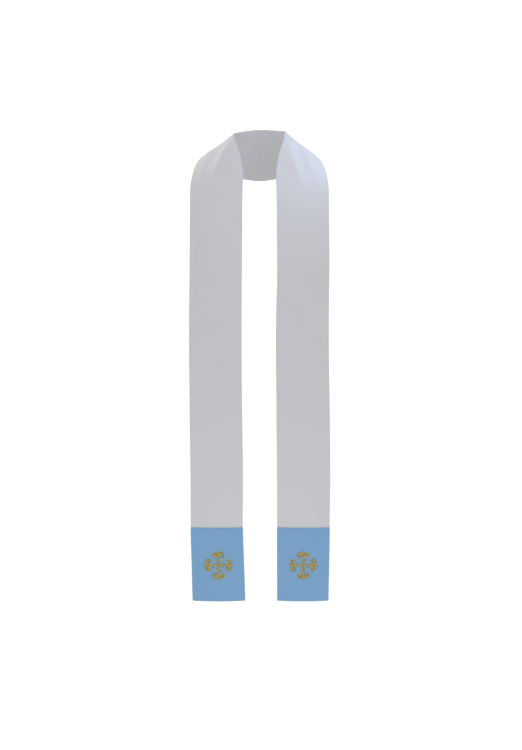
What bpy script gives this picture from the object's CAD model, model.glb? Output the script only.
# %% [markdown]
# # A priest's stole, as it is worn
# A stole is a long, narrow strip of cloth that a priest wears round the neck. This one has two white bands
# that meet in a slanted seam at the nape, pass over the shoulders and hang down the front. Each ends in a
# light blue panel with a gold embroidered cross. The wearer isn't modelled, so the cloth keeps the hollow
# form of a neck and shoulders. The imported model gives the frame: metres, +Z up, the wearer facing -Y, and
# the wearer's left at +X.

import math

import bmesh
import bpy
import numpy as np

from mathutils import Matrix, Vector


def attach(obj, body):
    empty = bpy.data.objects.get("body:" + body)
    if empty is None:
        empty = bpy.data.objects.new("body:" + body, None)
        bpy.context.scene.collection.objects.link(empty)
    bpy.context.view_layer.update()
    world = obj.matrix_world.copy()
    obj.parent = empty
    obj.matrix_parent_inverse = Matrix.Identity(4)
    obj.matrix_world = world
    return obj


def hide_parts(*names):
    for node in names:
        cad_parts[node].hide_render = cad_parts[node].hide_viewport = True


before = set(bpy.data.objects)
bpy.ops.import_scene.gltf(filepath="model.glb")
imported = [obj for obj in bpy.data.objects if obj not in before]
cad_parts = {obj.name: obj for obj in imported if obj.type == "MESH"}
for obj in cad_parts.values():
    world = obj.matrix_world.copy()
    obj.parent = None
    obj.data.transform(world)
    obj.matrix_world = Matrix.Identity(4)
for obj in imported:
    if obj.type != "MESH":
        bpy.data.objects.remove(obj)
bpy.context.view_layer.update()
scene = bpy.context.scene
print("nodes:", sorted(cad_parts))

# %% [markdown]
# ## Camera, floor and light
# The stole is seen straight from the front with a long lens, from about the height of its middle, as a
# shop shows a garment. The camera's long side is upright. Most of the light is the room's: soft, from every
# side, and weaker from above than from below, so that the hanging cloth is plain and bright. Two narrow
# lamps add what shows the folds on the shoulders: a cool window high on the wearer's left, in front, and a
# lamp behind their right shoulder, whose light runs along the cloth. Two weak ones in front lift the
# hanging part and the end panels. The world and the floor look white to the camera and light the cloth more
# softly than that.

# %% Camera
EYE_DISTANCE = 4.4  # from the plane in which the bands hang
HANG_Y = -0.118
EYE_HEIGHT = -0.6038
EYE_X = 0.0036
VIEW_HEIGHT = 1.815  # how much of the hanging plane the picture's height takes in
SENSOR = 36  # the long side of the camera's sensor, in millimetres


def added(name, data):
    """A new object of the scene, at the origin."""
    item = bpy.data.objects.new(name, data)
    scene.collection.objects.link(item)
    return item


lens = bpy.data.cameras.new("camera")
lens.sensor_fit = "AUTO"
lens.sensor_width = SENSOR
lens.lens = SENSOR * EYE_DISTANCE / VIEW_HEIGHT
camera = added("camera", lens)
camera.location = (EYE_X, HANG_Y - EYE_DISTANCE, EYE_HEIGHT)
camera.rotation_euler = (math.radians(90), 0, 0)
scene.camera = camera
print("lens", round(lens.lens, 1), "mm")

# %% The floor
FLOOR_Z = -1.475
FLOOR_REACH = 40.0  # from its middle to its edges
WHITE_SHARE = 0.8  # how much of the floor that the camera sees is plain white


def maker(tree):
    """What adds a node to a tree. An input takes a value, a socket, or a node, for its first output."""

    def node(kind, inputs=None, **settings):
        made = tree.nodes.new(kind)
        for name, value in settings.items():
            setattr(made, name, value)
        for name, value in (inputs or {}).items():
            source = value.outputs[0] if isinstance(value, bpy.types.Node) else value
            if isinstance(source, bpy.types.NodeSocket):
                tree.links.new(source, made.inputs[name])
            else:
                made.inputs[name].default_value = source
        return made

    return node


def new_material(name):
    """A material with an empty node tree, and what adds nodes to it."""
    print("finish:", name)
    material = bpy.data.materials.new(name)
    material.use_nodes = True
    material.node_tree.nodes.clear()
    return material, maker(material.node_tree)


floor_finish, node = new_material("pale_floor")
seen = node("ShaderNodeLightPath").outputs["Is Camera Ray"]
share = node("ShaderNodeMath", {0: seen, 1: WHITE_SHARE}, operation="MULTIPLY")
diffuse = node("ShaderNodeBsdfDiffuse", {"Color": (0.82, 0.82, 0.83, 1)})
glow = node("ShaderNodeEmission", {"Strength": 1.15})
mix = node("ShaderNodeMixShader", {"Fac": share, 1: diffuse, 2: glow})
node("ShaderNodeOutputMaterial", {"Surface": mix})

floor_mesh = bpy.data.meshes.new("floor")
corners = [(x * FLOOR_REACH, y * FLOOR_REACH, FLOOR_Z) for x, y in ((-1, -1), (1, -1), (1, 1), (-1, 1))]
floor_mesh.from_pydata(corners, [], [(0, 1, 2, 3)])
floor_mesh.materials.append(floor_finish)
floor = added("floor", floor_mesh)
print("floor at", FLOOR_Z, "m")

# %% The room's light
# How bright each colour of light is, and how it rises towards the wearer's left, the back and the top.
ROOM = {
    "Red": (0.975, (0.02, 0.1, -0.42)),
    "Green": (0.981, (0.03, 0.1, -0.42)),
    "Blue": (0.988, (0.06, 0.1, -0.42)),
}

scene.view_settings.view_transform = "Standard"
scene.view_settings.look = "None"
world = bpy.data.worlds.new("surroundings")
scene.world = world
world.use_nodes = True
world.node_tree.nodes.clear()
node = maker(world.node_tree)
direction = node("ShaderNodeTexCoord").outputs["Generated"]
channels = {}
for channel, (mean, towards) in ROOM.items():
    rise = node("ShaderNodeVectorMath", {0: direction, 1: towards}, operation="DOT_PRODUCT")
    channels[channel] = node("ShaderNodeMath", {0: rise.outputs["Value"], 1: mean}, operation="ADD")
room = node("ShaderNodeBackground", {"Color": node("ShaderNodeCombineColor", channels)})
white = node("ShaderNodeBackground", {"Color": (1, 1, 1, 1), "Strength": 1.2})
seen = node("ShaderNodeLightPath").outputs["Is Camera Ray"]
mix = node("ShaderNodeMixShader", {"Fac": seen, 1: room, 2: white})
node("ShaderNodeOutputWorld", {"Surface": mix})
print("room light:", ROOM)

# %% The lamps
# Each lamp: its place, the place that it faces, the width of its beam in degrees, its watts and its colour.
LAMPS = {
    "window": ((1.25, -1.0, 1.6), (0.15, -0.04, -0.05), 11, 74, (0.5, 0.66, 1)),
    "side_lamp": ((-2.17, 0.44, 0.63), (-0.095, -0.05, -0.045), 8, 48, (1, 0.98, 0.96)),
    "front_lamp": ((0.3, -2.9, -0.95), (0, -0.12, -0.85), 35, 11.5, (0.99, 1, 1)),
    "low_lamp": ((0.2, -1.9, -1.3), (0, -0.12, -1.05), 26, 5, (1, 1, 1)),
}
LAMP_SIZE = 0.1

for name, (place, aim, beam, watts, colour) in LAMPS.items():
    light = bpy.data.lights.new(name, "SPOT")
    light.spot_size = math.radians(beam)
    light.spot_blend = 1
    light.shadow_soft_size = LAMP_SIZE
    light.energy = watts
    light.color = colour
    lamp = added(name, light)
    lamp.location = place
    lamp.rotation_mode = "QUATERNION"
    lamp.rotation_quaternion = (Vector(aim) - Vector(place)).to_track_quat("-Z", "Y")
    lamp.visible_camera = False
print("lights:", list(LAMPS))

# %% [markdown]
# ## The cloth's form
# A stole is a straight strip, so however it bends it keeps its width and the lengths of its edges. Its form
# is a table of sections across the strip, in millimetres, from the nape to the hem: the neck-side (inner)
# edge, the shoulder-side (outer) edge, how far the middle stands out from the line between them, and how
# much the inner edge sits higher on the wearer's left and lower on the right. A smooth curve runs through
# the inner ends, one through the middles and one through the outer ends, and each section is the bow
# through its three points.

# %% Sizes
BAND_WIDTH = 128
NECK_RADIUS = 63
INNER_X = 41.5
OUTER_X = INNER_X + BAND_WIDTH
HEM_Z = -1150
PANEL_HEIGHT = 177
PANEL_TOP_Z = HEM_Z + PANEL_HEIGHT
print("bands", 2 * INNER_X, "mm apart, and panels from", PANEL_TOP_Z, "to", HEM_Z)

# %% The sections on the wearer
# Inner edge, outer edge, rise of the middle, lean of the inner edge.
DRAPE = [
    ((0, 62, 14), (0, 119, -110), 0, 0),  # nape seam
    ((26, 56, 11.5), (52, 109, -104), 1, 0.8),  # back of neck
    ((47, 40, 7), (92, 92, -98), 3, 1.6),  # back of collar
    ((59.5, 16, 2), (117, 75, -90), 5, 2.2),  # behind the ear
    ((NECK_RADIUS, -12, -4), (138, 54, -79), 8, 2.6),  # side of neck
    ((58.5, -29, -27), (152, 32, -68), 11, 2),  # top of shoulder
    ((52, -45, -48), (156.5, 8, -77), 14, 1),  # shoulder point
    ((46.4, -58, -71), (160.5, -16, -90), 13, 0),  # collar bone
    ((42.6, -69, -92), (164, -35, -104), 9, 0),  # below collar bone
    ((40, -78, -111), (166.5, -50, -118), 5, 0),  # upper chest
    ((40.3, -86, -129), (168.8, -65, -133), 3, 0),  # chest
    ((41, -96, -160), (169.8, -81, -161), 2, 0),  # breast
    ((INNER_X, -106, -200), (OUTER_X, -96, -199), 1, 0),  # fullest chest
    ((INNER_X, -114, -260), (OUTER_X, -109, -258), 1, 0),  # leaves the chest
]
print("sections on the wearer:", len(DRAPE))

# %% The sections of the hanging part
# Their height, how far out of plumb (outwards) the inner and the outer edge of the right band
# stand, the same for the left band, and how far the middle stands forward and dips.
HANG = [
    (-340, (0.8, 0), (1, 0), 1, 0),
    (-500, (1.6, 1.6), (-2.1, -1.6), 0.5, 0),
    (-700, (0.3, -0.3), (-0.6, 0.8), 0.5, 0),
    (-850, (-1.6, -2.6), (0.6, 1.8), 1, 0),
    (PANEL_TOP_Z, (-0.9, -3.2), (1.2, 0.2), 2, 0.8),
    (-1060, (-3.7, -5.7), (1.4, -1.2), 4, 0.8),
    (HEM_Z, (-6.7, -8.2), (1.6, -3.2), 6, 1),
]
SEAM_ROW = len(DRAPE) + [row[0] for row in HANG].index(PANEL_TOP_Z)
LAST_ROW = len(DRAPE) + len(HANG) - 1


def rows_of(band):
    """The inner, middle and outer points of a band's sections, drawn for the wearer's left."""
    up = 1 if band == "left" else -1
    rows = [((x, y, z + up * lean), far, rise, 0) for (x, y, z), far, rise, lean in DRAPE]
    for z, right, left, rise, dip in HANG:
        near, far = left if band == "left" else right
        rows.append(((INNER_X + near, HANG_Y * 1000, z), (OUTER_X + far, HANG_Y * 1000, z), rise, dip))
    inner, outer, rise, dip = (np.array(column, float) for column in zip(*rows))
    total, number = inner + outer, np.arange(LAST_ROW + 1)
    before, after = total[np.maximum(number - 1, 0)], total[np.minimum(number + 1, LAST_ROW)]
    out = np.cross(after - before, outer - inner)
    out /= np.linalg.norm(out, axis=1, keepdims=True)
    middle = total / 2 + out * rise[:, None]
    middle[:, 2] -= dip
    return inner, middle, outer


print("hanging sections:", len(HANG))

# %% A curve through points
def curve_through(points, places):
    """Points on a centripetal curve, at fractional numbers of the points that it runs through."""
    p = np.vstack([2 * points[0] - points[1], points, 2 * points[-1] - points[-2]])
    place = np.asarray(places, float) + 1
    i = np.clip(np.floor(place).astype(int), 1, len(p) - 3)
    w = (place - i)[..., None]
    p0, p1, p2, p3 = p[i - 1], p[i], p[i + 1], p[i + 2]

    def gap(a, b):
        return np.sqrt(np.linalg.norm(b - a, axis=-1, keepdims=True))

    d0, d1, d2 = gap(p0, p1), gap(p1, p2), gap(p2, p3)
    t1 = ((p1 - p0) / d0 - (p2 - p0) / (d0 + d1) + (p2 - p1) / d1) * d1
    t2 = ((p2 - p1) / d1 - (p3 - p1) / (d1 + d2) + (p3 - p2) / d2) * d1
    c2 = -3 * p1 + 3 * p2 - 2 * t1 - t2
    c3 = 2 * p1 - 2 * p2 + t1 + t2
    return p1 + t1 * w + c2 * w**2 + c3 * w**3


def distance_along(points):
    """How far along a line of points each of them is."""
    return np.concatenate([[0], np.cumsum(np.linalg.norm(np.diff(points, axis=0), axis=1))])


def sampled(wanted, places, points):
    """The points of a line at wanted places, from those at its own places."""
    return np.stack([np.interp(wanted, places, points[:, k]) for k in range(3)], axis=-1)


bent = np.array([(0, 0), (1, 0), (2, 1)], float)
print("halfway to the second of three points:", curve_through(bent, [0.5]).round(3))

# %% The smooth lines of each band
FINE = 60  # places kept from one section to the next
FINE_ROWS = np.linspace(0, LAST_ROW, FINE * LAST_ROW + 1)
GRAIN = 0.25  # spacing of the points that a line is kept as
EASE = 8.0  # over how many millimetres its bends are evened out


class Line:
    """A line along the cloth, whose bend changes gradually, also across the nape seam."""

    def __init__(self, points):
        fine = curve_through(np.vstack([points[1] * (-1, 1, 1), points]), FINE_ROWS + 1)
        length = distance_along(fine)
        even = np.arange(0, length[-1], GRAIN)
        spread = sampled(even, length, fine)
        reach = int(3 * EASE / GRAIN)
        before = spread[reach:0:-1] * (-1, 1, 1)
        after = spread[-1] + (spread[-1] - spread[-2]) * np.arange(1, reach + 1)[:, None]
        padded = np.vstack([before, spread, after])
        weight = np.exp(-0.5 * (np.arange(-reach, reach + 1) * GRAIN / EASE) ** 2)
        weight /= weight.sum()
        eased = np.stack([np.convolve(padded[:, k], weight, "valid") for k in range(3)], axis=1)
        self.points = sampled(length, even, eased)
        self.length = distance_along(self.points)


LINES = {band: [Line(points) for points in rows_of(band)] for band in ("right", "left")}
for band, (inner, _, outer) in LINES.items():
    print(band, "edges:", round(inner.length[-1]), "and", round(outer.length[-1]), "mm")

# %% The smooth surface
STEP_ALONG, STEP_ACROSS = 0.02, 0.004  # of a row, and of the width


def smooth(lines, rows, us):
    """The cloth before its folds: rows are row numbers, us shares of the width from the inner edge."""
    rows, us = np.broadcast_arrays(rows, us)
    inner, middle, outer = (sampled(rows, FINE_ROWS, line.points) for line in lines)
    u = us[..., None]
    return inner * (1 - u) * (1 - 2 * u) + middle * 4 * u * (1 - u) + outer * u * (2 * u - 1)


def facing(surface, rows, us):
    """The direction away from the wearer, from short steps over the surface. At the nape it has no X."""
    rows, us = np.broadcast_arrays(rows, us)
    after, before = np.minimum(rows + STEP_ALONG, LAST_ROW), np.maximum(rows - STEP_ALONG, 0)
    along = surface(after, us) - surface(before, us)
    across = surface(rows, us + STEP_ACROSS) - surface(rows, us - STEP_ACROSS)
    out = np.cross(along, across)
    out[..., 0] = np.where(rows <= 0, 0, out[..., 0])
    return out / np.linalg.norm(out, axis=-1, keepdims=True)


for band, lines in LINES.items():
    print(band, "side of the neck:", smooth(lines, 4, 0).round())

# %% [markdown]
# ## Folds
# Where the strip turns over the shoulder it has more width than it needs, and the slack gathers in soft
# folds that run from the neck outwards and forwards. Each is a line in the flat strip, placed by hand: its
# distances across from the inner edge and along from the nape at both ends, how far it reaches on its front
# and on its back side, how rounded its crest is, and its height. A hollow has a negative height. The large
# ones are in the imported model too; the fine ones are only here. Behind the neck and on the hanging cloth
# there are a few slight ones, and cloth that hangs free also sways by about half a millimetre.

# %% The folds of each band
FOLDS = {
    "right": [
        ((8, 76), (178, 290), 26, 9, 3, 9.5),  # from the neck point to the front of the shoulder
        ((40, 91), (198, 271), 8, 8, 5, -1.8),  # hollow behind it
        ((84, 108), (206, 292), 14, 6, 3, 3.4),  # towards the shoulder edge
        ((30, 70), (300, 380), 22, 22, 20, -0.7),
        ((20, 62), (84, 30), 12, 12, 9, 1.1),
        ((34, 98), (110, 58), 12, 12, 9, -1.3),
        ((70, 118), (132, 98), 10, 10, 8, 1.0),
        ((20, 70), (420, 560), 26, 26, 20, 0.6),
        ((110, 60), (640, 800), 30, 30, 20, -0.6),
        ((30, 96), (860, 980), 24, 24, 20, 0.5),
    ],
    "left": [
        ((8, 60), (186, 312), 24, 11, 3.5, 11.6),  # from the neck point to the front of the shoulder
        ((30, 80), (190, 288), 11, 9, 5, -3.4),  # hollow behind it
        ((56, 101), (200, 312), 11, 14, 5, 4.6),  # towards the shoulder edge
        ((50, 96), (310, 372), 24, 24, 18, -0.7),
        ((14, 66), (92, 40), 12, 12, 10, 1.0),
        ((40, 104), (116, 72), 12, 12, 10, -1.1),
        ((82, 120), (126, 92), 9, 9, 9, 1.1),
        ((96, 40), (400, 540), 28, 28, 20, 0.6),
        ((24, 84), (620, 760), 28, 28, 20, -0.5),
        ((100, 50), (880, 1010), 24, 24, 20, 0.5),
    ],
}
print({band: len(folds) for band, folds in FOLDS.items()}, "folds")

# %% How folds lift the cloth
FOLD_RISE, FOLD_END = (-0.2, 0.25), (0.6, 1.2)  # the shares of its line in which a fold rises and dies away


def step(value, low, high):
    """0 below low, 1 above high, and smooth between."""
    t = np.clip((value - low) / (high - low), 0, 1)
    return t * t * (3 - 2 * t)


def fold_height(band, across, along):
    """How high the folds lift the cloth at places in the flat strip."""
    height = np.zeros(np.broadcast(across, along).shape)
    for (a0, a1), (l0, l1), front, back, crest, lift in FOLDS[band]:
        length = math.hypot(a1 - a0, l1 - l0)
        share = ((across - a0) * (a1 - a0) + (along - l0) * (l1 - l0)) / length**2
        aside = ((across - a0) * (l1 - l0) - (along - l0) * (a1 - a0)) / length
        ends = step(share, *FOLD_RISE) * (1 - step(share, *FOLD_END))
        away = np.sqrt(aside**2 + crest**2) - crest
        height += lift * ends * np.exp(-away / np.where(aside < 0, front, back))
    return height


flat_strip = np.meshgrid(np.arange(BAND_WIDTH), np.arange(-HEM_Z))
for band in FOLDS:
    print(band, "highest fold:", fold_height(band, *flat_strip).max().round(1), "mm")

# %% How free cloth sways, and how the stitches pull it
FREE = 240, 420  # between these places along the strip the cloth comes to hang free
SWAY_FROM = {"left": 0.7, "right": 2.1}  # where in its waves each side starts
SHORT_SWAY = 0.22, 61, 47  # the short waves' height, and a radian's length along and across
LONG_SWAY = 0.35, 143, 90  # the same for the long ones
CROSS_BELOW_SEAM = 90
DISH = 0.5, 42  # how deep the stitches draw the panel in, and how far from the cross's centre
RAYS = 12, 0.16  # how many rays there are round a cross, and how high they are
RAYS_AT = 45, 9  # how far out they are, and half their length


def hump(value, middle, width):
    """1 in the middle, and dying away on both sides."""
    return np.exp(-(((value - middle) / width) ** 2))


def sway(band, across, along):
    """The slight, slow unevenness of cloth that hangs free."""
    start = SWAY_FROM[band]
    high, down, over = SHORT_SWAY
    short = high * (np.sin(along / down + start) * np.sin(across / over + 1.3 * start))
    high, down, over = LONG_SWAY
    slow = high * np.sin(along / down + 2.2 * start + across / over)
    return step(along, *FREE) * (short + slow)


def drawn_in(across, below):
    """How the close stitches of a cross pull the panel round them into a shallow dish with faint rays."""
    x, y = across - BAND_WIDTH / 2, CROSS_BELOW_SEAM - below
    away, turn = np.hypot(x, y), np.arctan2(y, x)
    rays = RAYS[1] * np.sin(RAYS[0] * turn + 0.6) * hump(away, *RAYS_AT)
    return np.where(below > 0, rays - DISH[0] * np.exp(-((away / DISH[1]) ** 4)), 0)


print("under a cross:", drawn_in(BAND_WIDTH / 2, CROSS_BELOW_SEAM).round(2), "mm")

# %% The two sides of the strip
SEAM_DROP = 48  # how much further along the strip the nape seam meets the inner edge
PANEL_SECTIONS = np.arange(SEAM_ROW, LAST_ROW + 1)
BELOW_SEAM = [PANEL_TOP_Z - row[0] for row in HANG if row[0] <= PANEL_TOP_Z]  # of those sections


class Strip:
    """One side of the stole: its smooth form with its folds, and its lengths."""

    def __init__(self, band):
        self.band = band
        self.lines = LINES[band]

    def along(self, rows, us):
        """How far along the flat strip a place is, from where the nape seam meets the outer edge."""
        inner = np.interp(rows, FINE_ROWS, self.lines[0].length) + SEAM_DROP
        return inner + (np.interp(rows, FINE_ROWS, self.lines[2].length) - inner) * us

    def lift(self, rows, us):
        """How far folds, sway and stitches move the cloth away from the wearer."""
        along, across = self.along(rows, us), us * BAND_WIDTH
        below = np.interp(rows, PANEL_SECTIONS, BELOW_SEAM)
        free = sway(self.band, across, along) + drawn_in(across, below)
        return fold_height(self.band, across, along) + free

    def smooth_point(self, rows, us):
        return smooth(self.lines, rows, us)

    def point(self, rows, us):
        """A place in the middle of the wall, with its folds."""
        out = facing(self.smooth_point, rows, us)
        return self.smooth_point(rows, us) + out * self.lift(rows, us)[..., None]

    def facing(self, rows, us):
        return facing(self.point, rows, us)

    def rows_every(self, pitch, first, last):
        """Row numbers between two rows, a pitch apart along the middle of the strip."""
        length = (self.lines[0].length + self.lines[2].length) / 2
        start, end = np.interp([first, last], FINE_ROWS, length)
        return np.interp(np.linspace(start, end, int(round((end - start) / pitch)) + 1), length, FINE_ROWS)


STRIPS = {band: Strip(band) for band in LINES}
for band, strip in STRIPS.items():
    print(band, "hem, middle:", strip.point(LAST_ROW, 0.5).round())

# %% [markdown]
# ## A wall of cloth
# A band is three layers pressed together: the face, an interlining and the backing. The long edges are
# turned in, so they are a little thicker for the few millimetres that the turning reaches, and rounded at
# the very edge. One helper makes any piece of the strip as a closed wall: a front and a back sheet of
# points that come together in one line along each turned edge. Where two turned edges meet at a hem's
# corner, the last face is cut in two from the corner itself: cut the other way, front and back would share
# a triangle and leave a flap without thickness. Each point also gets its place in the flat strip as a UV,
# in metres, so that the weave follows the cloth.

# %% The thickness of the wall
TURNING = 5.8, 7.8  # where the turned edge thins out, from the edge
EDGE_ROUND = 1.3
NEAR_EDGE = 0, 0.12, 0.4, 0.8, EDGE_ROUND, 2.6, 4.4, 6, 7, 8.2  # where the points next to an edge lie


def edge_stations(width, pitch):
    """Distances from one edge to the other, close together at the edges."""
    *near, last = NEAR_EDGE
    inside = np.linspace(last, width - last, int(round((width - 2 * last) / pitch)) + 1)
    return np.concatenate([near, inside, [width - d for d in reversed(near)]])


def thickness(from_edge, half, turned):
    """Half the wall's thickness at a distance from a turned edge."""
    roll = np.sqrt(np.clip(1 - (1 - np.minimum(from_edge, EDGE_ROUND) / EDGE_ROUND) ** 2, 0, 1))
    return roll * (half + turned * (1 - step(from_edge, *TURNING)))


print("stations from an edge:", edge_stations(BAND_WIDTH, 2)[:5])

# %% The faces of the wall
def flipped(face):
    """A face turned over, from the same first point."""
    return face[:1] + face[:0:-1]


def cells(sheet, hem):
    """The faces of a grid of point numbers. With a hem, its two corner faces are cut from the corner."""
    rows, columns = sheet.shape
    faces = []
    for r in range(rows - 1):
        for k in range(columns - 1):
            face = (sheet[r, k], sheet[r + 1, k], sheet[r + 1, k + 1], sheet[r, k + 1])
            corner = {0: 1, columns - 2: 2}.get(k) if hem and r == rows - 2 else None
            if corner is None:
                faces.append(face)
            else:
                a, b, c, d = face[corner:] + face[:corner]
                faces += [(a, b, c), (a, c, d)]
    return faces


print("faces of 3 by 4 points:", len(cells(np.arange(12).reshape(3, 4), False)))

# %% The wall helper
def wall(title, strip, front, back, flat, hem):
    """A closed mesh from a front and a back grid of points. They meet at the long edges, and at a hem."""
    name = f"{title}_{strip.band}"
    rows, columns = front.shape[:2]
    points, uvs = list(front.reshape(-1, 3)), list(flat.reshape(-1, 2))
    fore = np.arange(rows * columns).reshape(rows, columns)
    aft = fore.copy()
    for r in range(rows - 1 if hem else rows):
        for k in range(1, columns - 1):
            aft[r, k] = len(points)
            points.append(back[r, k])
            uvs.append(flat[r, k])
    faces = cells(fore, hem) + [flipped(face) for face in cells(aft, hem)]
    for r in (0,) if hem else (0, rows - 1):
        for k in range(columns - 1):
            ring = (fore[r, k], fore[r, k + 1], aft[r, k + 1], aft[r, k])
            ring = tuple(v for i, v in enumerate(ring) if v not in ring[:i])  # edge points are shared
            faces.append(ring if r == 0 else flipped(ring))
    points = np.array(points) / 1000
    if strip.band == "right":  # the right side too is drawn on the left, and is mirrored here
        points[:, 0] *= -1
        faces = [flipped(face) for face in faces]
    mesh = bpy.data.meshes.new(name)
    mesh.from_pydata(points.tolist(), [], [tuple(int(v) for v in face) for face in faces])
    mesh.update()
    layer = mesh.uv_layers.new(name="flat_strip")
    corner = np.zeros(len(mesh.loops), int)
    mesh.loops.foreach_get("vertex_index", corner)
    layer.data.foreach_set("uv", (np.array(uvs)[corner] / 1000).ravel())
    mesh.shade_smooth()
    return added(name, mesh)


def both_sides(make):
    """Makes a piece on each side, and prints how many triangles it has."""
    pieces = {band: make(strip) for band, strip in STRIPS.items()}
    for piece in pieces.values():
        print(piece.name, sum(len(face.vertices) - 2 for face in piece.data.polygons), "triangles")
    return pieces


print("edges are rounded over", EDGE_ROUND, "mm")

# %% [markdown]
# ## The two bands
# Each band runs from the nape seam to the panel. At both seams the layers are pulled together by the
# stitches, so the wall thins in its last two millimetres and the seam shows as a fine ditch. Just above the
# panel the seam draws the band's end in a little, which leaves a few faint puckers there. The mesh is finer
# over the shoulders, where the folds are, than on the hanging part.

# %% The cloth next to a seam
DITCH = 2.2  # how far from a seam the wall starts to thin
PULLED = 0.45  # the share of its thickness that is left right at a seam
PUCKER = 0.24, 9.0, 14  # the puckers' height, their reach, and over how much they fade at the sides
PUCKER_WAVES = 3.1, 1.9  # how wide a radian of each of their two waves is


def seam_ditch(distance):
    """The share of its thickness that the wall has at a distance from a seam."""
    return PULLED + (1 - PULLED) * step(distance, 0, DITCH)


def drawn_back(distance, depth, reach):
    """How far the cloth next to the panel's seam is drawn back, where it turns into the seam."""
    return -depth * hump(distance, 0, reach)


def puckers(across, distance):
    """The small waves that a seam leaves in the cloth next to it."""
    from_edge = np.minimum(across, BAND_WIDTH - across)
    waves = np.sin(across / PUCKER_WAVES[0]) + 0.7 * np.sin(across / PUCKER_WAVES[1] + 1)
    height, reach, fade = PUCKER
    return height * waves * np.exp(-distance / reach) * step(from_edge, 0, fade)


def both_faces(middle, out, proud, half):
    """The front and the back of the wall, with its middle moved out by proud."""
    middle = middle + out * proud[..., None]
    return middle + out * half[..., None], middle - out * half[..., None]


print("at a seam the wall has", seam_ditch(0), "of its thickness")

# %% Make the bands
BAND_HALF = 1.05  # half the wall's thickness
TURNED_MORE = 0.22  # how much the turning adds to it
CLOSE = 0.02  # half the gap between two pieces at a seam
DENSE = 2.0  # mesh spacing where the folds are
OPEN = 5.0  # and on the hanging part
NEAR_SEAM = 0.6, 1.2, 1.8, 2.6  # rows next to the panel's seam; the first three also at the nape
BAND_DRAWN = 1.5, 1.1  # how deep the panel's seam draws the band back, and how far up it reaches


def make_band(strip):
    """The band of one side, with its rows closer together next to the seams."""
    folded, hanging = strip.rows_every(DENSE, 0, len(DRAPE)), strip.rows_every(OPEN, len(DRAPE), SEAM_ROW)
    near_nape = np.array(NEAR_SEAM[:3]) / strip.lines[0].length[FINE]
    last_step = HANG[SEAM_ROW - len(DRAPE) - 1][0] - PANEL_TOP_Z
    near_panel = SEAM_ROW - np.array([CLOSE, *NEAR_SEAM]) / last_step
    rows = np.concatenate([folded, hanging])
    rows = np.unique(np.concatenate([rows[rows < near_panel.min()], near_nape, near_panel]))
    stations = edge_stations(BAND_WIDTH, DENSE)
    r, u = rows[:, None], stations[None, :] / BAND_WIDTH
    middle, out, along = strip.point(r, u), strip.facing(r, u), strip.along(r, u)
    from_nape = np.maximum(along - (1 - u) * SEAM_DROP, 0)
    to_panel = np.maximum(middle[..., 2] - PANEL_TOP_Z, 0)
    from_edge = np.minimum(stations, BAND_WIDTH - stations)[None, :]
    half = thickness(from_edge, BAND_HALF, TURNED_MORE) * seam_ditch(np.minimum(from_nape, to_panel))
    proud = puckers(stations[None, :], to_panel) + drawn_back(to_panel, *BAND_DRAWN)
    front, back = both_faces(middle, out, proud, half)
    flat = np.stack([np.broadcast_to(stations, along.shape), along], axis=-1)
    front[0, :, 0] = back[0, :, 0] = CLOSE
    return wall("stole_band", strip, front, back, flat, False)


bands = both_sides(make_band)

# %% [markdown]
# ## The end panels
# A panel is blue cloth with its own backing, sewn to the end of the band. It is cut a hair wider than the
# band, its sides and hem are turned in, and the corners of the hem are slightly rounded where the turnings
# meet. It is made like a band, but its rows narrow towards the corners, and it closes along the hem as
# along its sides.

# %% Make the panels
PANEL_WIDER = 0.6
PANEL_HALF = 1.1
PANEL_PUCKERS = 0.8  # the height of its puckers against the band's
LIP = 0.2, 3  # how proud of the band its upper edge stands, and over how much it fades at the sides
LIP_AT = 4, 2.5  # how far below the seam, and half how broadly
PANEL_DRAWN = 2.1, 1.9  # how deep the seam draws the panel back, and how far down it reaches
PANEL_ROWS = 0.5, 1.0, 1.7, 2.6  # rows next to the seam, in place of a turned edge's
CORNER_RADIUS = 2.2
CORNER_ROWS = 0.25, 0.6, 1.0, 1.6, CORNER_RADIUS  # rows above the hem, for its rounded corners


def corner_inset(left):
    """How far the rounded corners draw in the sides, at a distance above the hem."""
    drop = np.maximum(CORNER_RADIUS - left, 0)
    return CORNER_RADIUS - np.sqrt(CORNER_RADIUS**2 - drop**2)


def make_panel(strip):
    """The panel of one side, with its rows narrowing round the corners of the hem."""
    below = edge_stations(PANEL_HEIGHT, DENSE)
    above_hem = PANEL_HEIGHT - np.array(CORNER_ROWS)
    below = np.unique(np.concatenate([[CLOSE, *PANEL_ROWS], below[below > PANEL_ROWS[-1]], above_hem]))
    left = PANEL_HEIGHT - below
    inset = corner_inset(left)
    width = BAND_WIDTH + 2 * PANEL_WIDER
    stations = edge_stations(width, DENSE)[None, :]
    across = inset[:, None] + stations * (1 - 2 * inset[:, None] / width) - PANEL_WIDER
    r, u = np.interp(below, BELOW_SEAM, PANEL_SECTIONS)[:, None], across / BAND_WIDTH
    middle, out, along = strip.point(r, u), strip.facing(r, u), strip.along(r, u)
    from_side = np.minimum(across + PANEL_WIDER, BAND_WIDTH + PANEL_WIDER - across) - inset[:, None]
    from_edge = np.minimum(from_side, left[:, None])
    half = thickness(from_edge, PANEL_HALF, TURNED_MORE) * seam_ditch(below)[:, None]
    wave = puckers(np.clip(across, 0, BAND_WIDTH), below[:, None]) * PANEL_PUCKERS
    lip = LIP[0] * hump(below, *LIP_AT)[:, None] * step(from_edge, 0, LIP[1])
    front, back = both_faces(middle, out, wave + lip + drawn_back(below, *PANEL_DRAWN)[:, None], half)
    flat = np.stack([across, along], axis=-1)
    return wall("blue_panel", strip, front, back, flat, True)


panels = both_sides(make_panel)

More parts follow.
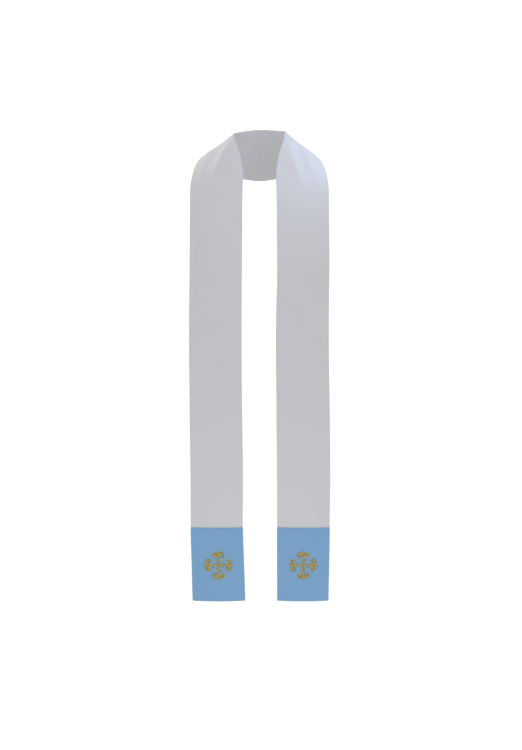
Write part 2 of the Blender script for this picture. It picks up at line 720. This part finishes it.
# %% [markdown]
# ## The outline of a cross
# The cross is a traditional one, with a lily at the end of each arm: a bud with two barbs near the middle,
# then a shaft that opens into a pointed middle petal between two side petals that curl back. Half an arm is
# a short table, as distances out from the centre and aside from the arm's middle line; it is mirrored and
# turned four times. The machine first sews an underlay of the same gold, close and flat, over the whole
# outline. The satin stitch lies on it, and it shows as a darker gold between the columns. Here the underlay
# is a thin closed solid on the panel.

# %% The outline
ARM = [
    (1.6, 1.6), (3.4, 1.2), (4.8, 2.3), (7, 3.8), (9.6, 4.3), (12, 4.7), (14.9, 6.7), (13.7, 2.7),
    (15, 1.6), (17.2, 1.5), (18.5, 2.5), (21.4, 4.5), (23.2, 6.4), (23.5, 8.2), (22.6, 10.4), (21.9, 12.2),
    (20.4, 11.1), (19.9, 9.6), (20.6, 8.4), (20.2, 7.3), (19, 7.2), (17.6, 9), (17.8, 11.4), (18.9, 13.4),
    (21.3, 15), (25.2, 15.3), (28.9, 13.6), (31.7, 10.6), (32.6, 7), (31, 3.8), (31.3, 2.1), (33.4, 1.8),
    (36, 1.1), (38.5, 0),
]
TURNS = [np.array([(c, s), (-s, c)]) for c, s in ((1, 0), (0, 1), (-1, 0), (0, -1))]  # for each arm


def cross_outline():
    """The corners of the whole cross, from the table of half an arm."""
    half = np.array(ARM)
    arm = np.vstack([half * (1, -1), half[-2:0:-1]])
    return np.vstack([arm @ turn for turn in TURNS])


print("a cross has", len(cross_outline()), "corners and is", 2 * ARM[-1][0], "mm wide")

# %% The underlay
CROSS_ASIDE = {"right": -1.3, "left": 0}  # how far each cross is sewn off the middle, outwards
UNDERLAY = 0.9, 1.45  # its foot and its top, above the middle of the panel's wall
UNDERLAY_SHARE = 0.985  # its size against the cross's, so that the stitches cover its rim
CUTS = np.arange(-35, 36, 5.0)  # where it is cut, each way


def on_panel(strip, flat_points, height):
    """Places on a panel, a height above the middle of its wall, from (right, up) places on the cross."""
    rows = np.interp(CROSS_BELOW_SEAM - flat_points[:, 1], BELOW_SEAM, PANEL_SECTIONS)
    us = 0.5 + (flat_points[:, 0] + CROSS_ASIDE[strip.band]) / BAND_WIDTH
    spots = (strip.point(rows, us) + strip.facing(rows, us) * np.reshape(height, (-1, 1))) / 1000
    if strip.band == "right":
        spots[:, 0] *= -1
    return spots


def make_underlay(strip):
    """A thin solid of the cross's outline, cut so finely that it can follow the panel."""
    mesh = bmesh.new()
    outline = cross_outline() * UNDERLAY_SHARE
    mesh.faces.new([mesh.verts.new((x, y, 0)) for x, y in outline]).normal_update()
    bmesh.ops.triangulate(mesh, faces=mesh.faces[:], ngon_method="EAR_CLIP")
    for place in CUTS:
        for axis in ((1, 0, 0), (0, 1, 0)):
            spot = [place * v for v in axis]
            whole = mesh.verts[:] + mesh.edges[:] + mesh.faces[:]
            bmesh.ops.bisect_plane(mesh, geom=whole, dist=0.01, plane_co=spot, plane_no=axis)
    bmesh.ops.remove_doubles(mesh, verts=mesh.verts[:], dist=0.05)
    bmesh.ops.triangulate(mesh, faces=mesh.faces[:])
    raised = bmesh.ops.extrude_face_region(mesh, geom=mesh.faces[:])
    for vert in raised["geom"]:
        if isinstance(vert, bmesh.types.BMVert):
            vert.co.z = 1
    spots = np.array([vert.co[:] for vert in mesh.verts])
    places = on_panel(strip, spots[:, :2], np.interp(spots[:, 2], (0, 1), UNDERLAY))
    for vert, place in zip(mesh.verts, places):
        vert.co = place
    bmesh.ops.recalc_face_normals(mesh, faces=mesh.faces[:])
    data = bpy.data.meshes.new(f"cross_underlay_{strip.band}")
    mesh.to_mesh(data)
    mesh.free()
    return added(data.name, data)


underlays = both_sides(make_underlay)

# %% [markdown]
# ## Satin stitch
# Embroidery fills a shape with threads that lie side by side across it, in columns; where a shape bends,
# the threads turn with it, and gold thread looks lighter or darker as it turns. Each column here is a line
# with a half width, and the threads cross it at a slant. A Geometry Nodes tree does what the needle does:
# it walks along every line in even steps and lays one arched thread at each, turned across the column and
# as long as it is wide.

# %% The columns of stitches
# Each column: its slant in degrees, which shade it shows, and its places as (out, aside, half width).
COLUMNS = {
    "bud": (28, 0.3, [
        (0.3, 0.45, 0.45), (3.4, 0.55, 0.55), (4.9, 1.1, 1.1), (7, 1.85, 1.85), (9.6, 2.1, 2.1),
        (11.8, 1.8, 1.8), (13.6, 1.2, 1.2),
    ]),
    "barb": (0, 0.85, [(10.4, 3, 1.6), (12.2, 4.4, 1.3), (13.6, 5.6, 0.8), (15, 6.8, 0.15)]),
    "shaft": (32, 0.9, [
        (13.2, 0.75, 0.75), (17.2, 0.75, 0.75), (20, 1, 1), (24, 1.15, 1.15), (28, 1.1, 1.1),
        (31, 0.95, 0.95), (34, 0.85, 0.85), (36.4, 0.5, 0.5), (38.4, 0.12, 0.12),
    ]),
    "inner_petal": (-12, 0.05, [
        (18.6, 1.9, 0.7), (22, 3.5, 1.15), (24.4, 5.6, 1.3), (24.9, 7.6, 1.15), (23.9, 8.9, 0.6),
    ]),
    "middle_petal": (14, 0.95, [
        (23.2, 2.7, 0.8), (26.3, 4.5, 1.25), (28.2, 7, 1.4), (27.6, 9.4, 1.35), (25.6, 11, 1.15),
        (23.2, 11, 0.6),
    ]),
    "outer_petal": (-12, 0.35, [
        (27.5, 2.6, 1), (29.9, 4.6, 1.3), (31.2, 7, 1.45), (30.4, 9.9, 1.5), (28, 12.4, 1.5),
        (24.8, 13.9, 1.45), (21.6, 13.6, 1.4), (19.3, 11.9, 1.35), (18.7, 9.6, 1.2), (19.7, 8.2, 1),
    ]),
}
print({name: len(table[2]) for name, table in COLUMNS.items()}, "places in each column")

# %% The lines that the stitches follow
FINER = 6  # points on a line for each place in the table
OTHER_SIDE = 0.85  # how much of its shade a column loses on the arm's other side


def stitch_lines(strip):
    """Lines down the columns. Each point keeps its stitch's direction and half length, and the way out."""
    spots, ways, shades, wires = [], [], [], []
    for slant, shade, table in COLUMNS.values():
        table = curve_through(np.array(table, float), np.linspace(0, len(table) - 1, FINER * len(table)))
        ahead = np.gradient(table[:, :2], axis=0)
        ahead /= np.linalg.norm(ahead, axis=1, keepdims=True)
        tilt = math.radians(slant)
        for side in (1, -1):
            place, go = table[:, :2] * (1, side), ahead * (1, side)
            over = np.stack([-go[:, 1], go[:, 0]], axis=1) * math.cos(tilt) + go * math.sin(tilt) * side
            over *= (table[:, 2] / math.cos(tilt))[:, None]
            for turn in TURNS:
                start = sum(len(line) for line in spots)
                spots.append(place @ turn)
                ways.append(over @ turn)
                shades.append(np.full(len(place), shade if side > 0 else 1 - shade * OTHER_SIDE))
                wires += [(start + i, start + i + 1) for i in range(len(place) - 1)]
    spots, ways = np.vstack(spots), np.vstack(ways)
    top = UNDERLAY[1]
    ground = on_panel(strip, spots, top)
    out = on_panel(strip, spots, top + 1) - ground
    across = (on_panel(strip, spots + ways, top) - on_panel(strip, spots - ways, top)) / 2
    mesh = bpy.data.meshes.new("stitch_lines")
    mesh.from_pydata(ground.tolist(), wires, [])
    for name, kind, key, values in (
        ("across", "FLOAT_VECTOR", "vector", across),
        ("out", "FLOAT_VECTOR", "vector", out / np.linalg.norm(out, axis=1, keepdims=True)),
        ("shade", "FLOAT", "value", np.concatenate(shades)),
    ):
        mesh.attributes.new(name, kind, "POINT").data.foreach_set(key, values.ravel())
    return mesh


print("columns on a cross:", 2 * len(TURNS) * len(COLUMNS))

# %% One thread
THREAD_SIDES = 5
ARCH_POINTS = 5  # steps along the arch


def one_thread(node, given):
    """A shallow arch from -1 to 1 along X, with a section of few sides."""
    top = node("ShaderNodeCombineXYZ", {"Z": given["Arch"]})
    route = {"Resolution": ARCH_POINTS, "Start": (-1, 0, 0), "Middle": top, "End": (1, 0, 0)}
    arch = node("GeometryNodeCurveQuadraticBezier", route)
    ring = {"Resolution": THREAD_SIDES, "Radius": given["Thread"]}
    section = node("GeometryNodeCurvePrimitiveCircle", ring)
    thread = node("GeometryNodeCurveToMesh", {"Curve": arch, "Profile Curve": section, "Fill Caps": True})
    return node("GeometryNodeSetShadeSmooth", {"Geometry": thread})


print("a thread has", THREAD_SIDES, "sides in", ARCH_POINTS, "steps")

# %% The turn and the length of each thread
SHORTEST, LONGEST = 0.93, 1.06  # stitches, as shares of the column's width


def turn_and_scale(node, given):
    """At each point: what turns the thread across the column, on the cloth, and what scales it along."""

    def kept(name):
        found = node("GeometryNodeInputNamedAttribute", {"Name": name}, data_type="FLOAT_VECTOR")
        return found.outputs["Attribute"]

    across = kept("across")
    lengthwise = node("FunctionNodeAlignRotationToVector", {"Vector": across}, axis="X")
    tilt = {"Rotation": lengthwise, "Vector": kept("out")}
    upright = node("FunctionNodeAlignRotationToVector", tilt, axis="Z", pivot_axis="X")
    half = node("ShaderNodeVectorMath", {0: across}, operation="LENGTH").outputs["Value"]
    limits = {"Min": SHORTEST, "Max": LONGEST, "Seed": given["Seed"]}
    uneven = node("FunctionNodeRandomValue", limits, data_type="FLOAT").outputs["Value"]
    size = node("ShaderNodeMath", {0: half, 1: uneven}, operation="MULTIPLY")
    return upright, node("ShaderNodeCombineXYZ", {"X": size, "Y": 1, "Z": 1})


print("stitches are", SHORTEST, "to", LONGEST, "of their column's width")

# %% The tree that lays the threads
TONE_SEED = 11  # added to the seed for the threads' tones
# Each input: its kind of socket, and the value that it starts with.
STITCH_INPUTS = {
    "Lines": ("Geometry", None),
    "Spacing": ("Float", 0.00046),
    "Thread": ("Float", 0.0003),
    "Arch": ("Float", 0.0004),
    "Seed": ("Int", 7),
    "Finish": ("Material", None),
}


def new_group(name, kind, inputs, outputs):
    """A node group, what its inputs give inside it, and what adds nodes to it."""
    print(name, "takes", list(inputs), "and gives", list(outputs))
    group = bpy.data.node_groups.new(name, kind)
    for title, (sort, start) in inputs.items():
        socket = group.interface.new_socket(title, in_out="INPUT", socket_type=f"NodeSocket{sort}")
        if start is not None:
            socket.default_value = start
    for title, sort in outputs.items():
        group.interface.new_socket(title, in_out="OUTPUT", socket_type=f"NodeSocket{sort}")
    node = maker(group)
    return group, node("NodeGroupInput").outputs, node


def thread_tree():
    """Walks along every line in even steps and lays one thread at each."""
    outputs = {"Stitches": "Geometry"}
    tree, given, node = new_group("satin_stitch", "GeometryNodeTree", STITCH_INPUTS, outputs)
    lines = node("GeometryNodeMeshToCurve", {"Mesh": given["Lines"]})
    steps = node("GeometryNodeResampleCurve", {"Curve": lines, "Length": given["Spacing"]}, mode="LENGTH")
    seed = node("ShaderNodeMath", {0: given["Seed"], 1: TONE_SEED}, operation="ADD")
    chance = node("FunctionNodeRandomValue", {"Seed": seed}, data_type="FLOAT").outputs["Value"]
    toned = {"Geometry": steps, "Name": "thread_tone", "Value": chance}
    points = node("GeometryNodeStoreNamedAttribute", toned, data_type="FLOAT", domain="POINT")
    turn, scale = turn_and_scale(node, given)
    laid = {"Points": points, "Instance": one_thread(node, given), "Rotation": turn, "Scale": scale}
    real = node("GeometryNodeRealizeInstances", {"Geometry": node("GeometryNodeInstanceOnPoints", laid)})
    finished = node("GeometryNodeSetMaterial", {"Geometry": real, "Material": given["Finish"]})
    node("NodeGroupOutput", {"Stitches": finished})
    return tree


satin_stitch = thread_tree()

# %% [markdown]
# ## How a weave looks
# All the cloth is a plain weave of fine, matt thread: lengthwise threads pass over and under crosswise
# ones. A shader node group works out, at any place in the flat strip, how high the upper thread is, how
# light it looks with the slight unevenness of spun thread, and the tone of the cloth there, which also
# drifts a little from one hand's width to the next. Both cloths use it with their own colours.

# %% The weave group
STREAKS = (900, 30, 1), (30, 900, 1)  # how often per metre the threads of each way get thicker and thinner
DRIFT = 14, 0.35  # how often per metre the tone drifts, and how much


def weave_group():
    """How high and how light the threads are at a place in the flat strip, and the tone there."""
    inputs = {"Place": ("Vector", None), "Threads per metre": ("Float", 2300), "Unevenness": ("Float", 0.5)}
    outputs = {"Height": "Float", "Lightness": "Float", "Tone": "Float"}
    group, given, node = new_group("plain_weave", "ShaderNodeTree", inputs, outputs)
    place = given["Place"]

    def work_out(operation, *values):
        return node("ShaderNodeMath", dict(enumerate(values)), operation=operation)

    def noise(place, scale):
        return node("ShaderNodeTexNoise", {"Vector": place, "Scale": scale, "Detail": 2}).outputs["Fac"]

    apart = node("ShaderNodeSeparateXYZ", {0: place}).outputs
    count = [work_out("MULTIPLY", apart[k], given["Threads per metre"]) for k in (0, 1)]
    heights = []
    for here, other, shift in ((0, 1, 0), (1, 0, 1)):
        bow = work_out("SINE", work_out("MULTIPLY", work_out("FRACT", count[here]), math.pi))
        number = work_out("ADD", work_out("ADD", count[other], work_out("FLOOR", count[here])), shift)
        over = work_out("COSINE", work_out("MULTIPLY", number, math.pi))
        heights.append(work_out("MULTIPLY", bow, work_out("MULTIPLY_ADD", over, 0.3, 0.7)))
    height = work_out("MAXIMUM", *heights)
    streaks = [noise(node("ShaderNodeMapping", {"Vector": place, "Scale": often}), 1) for often in STREAKS]
    evened = work_out("SUBTRACT", work_out("ADD", *streaks), 1)
    uneven = work_out("MULTIPLY", evened, given["Unevenness"])
    lightness = work_out("ADD", work_out("MULTIPLY_ADD", height, 0.5, 0.3), uneven)
    tone = work_out("MULTIPLY_ADD", noise(place, DRIFT[0]), DRIFT[1], lightness)
    node("NodeGroupOutput", {"Height": height, "Lightness": lightness, "Tone": tone})
    return group


plain_weave = weave_group()

# %% [markdown]
# ## The finishes
# The white and the blue cloth differ in colour and in how much their threads vary. A little sheen stands
# for the fine fibres that catch light where cloth turns away from the eye. The gold thread is smoother and
# partly metallic, lighter or darker from thread to thread, and the underlay is the same gold in the shade
# of the stitches. A small node group gives both the fine ridges of twisted thread.

# %% Cloth finishes
def finish_surface(node, colours, factor, surface):
    """Ends a material: a surface between a dark and a light colour."""
    dark, light = ((*colour, 1) for colour in colours)
    mix = node("ShaderNodeMix", {"Factor": factor, "A": dark, "B": light}, data_type="RGBA")
    skin = node("ShaderNodeBsdfPrincipled", {"Base Color": mix.outputs["Result"], **surface})
    node("ShaderNodeOutputMaterial", {"Surface": skin})


def cloth(name, colours, unevenness, sheen):
    """A matt cloth between two colours, with the weave's relief."""
    material, node = new_material(name)
    given = {"Place": node("ShaderNodeUVMap", uv_map="flat_strip"), "Unevenness": unevenness}
    weave = node("ShaderNodeGroup", given, node_tree=plain_weave).outputs
    rough = {"Value": weave["Lightness"], "To Min": 0.9, "To Max": 0.74}
    relief = {"Height": weave["Height"], "Strength": 0.35, "Distance": 0.00012}
    surface = {
        "Roughness": node("ShaderNodeMapRange", rough),
        "Normal": node("ShaderNodeBump", relief),
        "Specular IOR Level": 0.35,
        "Sheen Weight": sheen,
        "Sheen Roughness": 0.45,
    }
    finish_surface(node, colours, weave["Tone"], surface)
    return material


white_cloth = cloth("white_cloth", ((0.705, 0.705, 0.73), (0.785, 0.785, 0.8)), 0.25, 0.12)
blue_cloth = cloth("blue_cloth", ((0.205, 0.415, 0.69), (0.27, 0.5, 0.775)), 0.35, 0.06)

# %% The twist of gold thread
def twist_group():
    """The fine ridges of twisted thread, as a height at a place on the piece."""
    inputs = {"Place": ("Vector", None), "Twists per metre": ("Float", 2600)}
    group, given, node = new_group("thread_twist", "ShaderNodeTree", inputs, {"Height": "Float"})
    noise = node("ShaderNodeTexNoise", {"Vector": given["Place"], "Scale": given["Twists per metre"]})
    node("NodeGroupOutput", {"Height": noise.outputs["Fac"]})
    return group


thread_twist = twist_group()

# %% Gold finishes
TONE_SHARE, SHADE_SHARE = 0.35, 0.65  # what the thread and its column each add to how light a stitch is


def gold(name, colours, metal, roughness, lightness=None):
    """Gold thread between two colours: by what lightness adds to its nodes, or else by its twist."""
    material, node = new_material(name)
    where = node("ShaderNodeTexCoord").outputs["Object"]
    twist = node("ShaderNodeGroup", {"Place": where}, node_tree=thread_twist)
    bump = node("ShaderNodeBump", {"Height": twist, "Strength": 0.25, "Distance": 0.0001})
    surface = {"Normal": bump, "Metallic": metal, "Roughness": roughness}
    finish_surface(node, colours, lightness(node) if lightness else twist, surface)
    return material


def two_tones(node):
    """The tone of the thread and the shade of its column."""
    tone = node("ShaderNodeAttribute", attribute_name="thread_tone").outputs["Fac"]
    shade = node("ShaderNodeAttribute", attribute_name="shade").outputs["Fac"]
    column = node("ShaderNodeMath", {0: shade, 1: SHADE_SHARE}, operation="MULTIPLY")
    return node("ShaderNodeMath", {0: tone, 1: TONE_SHARE, 2: column}, operation="MULTIPLY_ADD")


gold_stitching = gold("gold_stitching", ((0.17, 0.128, 0.027), (0.82, 0.72, 0.27)), 0.35, 0.4, two_tones)
gold_underlay = gold("gold_underlay", ((0.34, 0.265, 0.068), (0.42, 0.335, 0.092)), 0.2, 0.6)

# %% Lay the stitches
SEEDS = {"left": 7, "right": 19}


def make_stitches(strip):
    """Runs the tree on a cross's lines and keeps its result as a plain mesh."""
    lines = added("stitch_lines", stitch_lines(strip))
    modifier = lines.modifiers.new("stitches", "NODES")
    modifier.node_group = satin_stitch
    sockets = {item.name: item.identifier for item in satin_stitch.interface.items_tree}
    modifier[sockets["Seed"]] = SEEDS[strip.band]
    modifier[sockets["Finish"]] = gold_stitching
    ready = lines.evaluated_get(bpy.context.evaluated_depsgraph_get())
    mesh = bpy.data.meshes.new_from_object(ready)
    mesh.name = f"cross_stitches_{strip.band}"
    lines.modifiers.clear()
    bpy.data.objects.remove(lines)
    return added(mesh.name, mesh)


stitches = both_sides(make_stitches)

# %% [markdown]
# ## Finishing
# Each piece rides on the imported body, takes the place of its plain solid, and says which finish of the
# record it has. A band and a panel are sheets of cloth, so the size that each was cut to is stated as well:
# the band is cut slanting at the nape, so its flat area is less than its length times its width.

# %% Hand the pieces over
for group, finish, slot, node_name in (
    (bands, white_cloth, "white_fabric", "band"),
    (panels, blue_cloth, "blue_fabric", "end_panel"),
    (stitches, gold_stitching, "gold_thread", "cross"),
    (underlays, gold_underlay, "gold_thread", None),
):
    for band, piece in group.items():
        piece.data.materials.clear()
        piece.data.materials.append(finish)
        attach(piece, "root")
        if node_name:
            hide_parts(f"{node_name}_{band}")

for band, strip in STRIPS.items():
    edges = [np.interp(SEAM_ROW, FINE_ROWS, strip.lines[k].length) / 1000 for k in (0, 2)]
    print(band, "band:", [round(edge, 4) for edge in edges], "m along its edges")
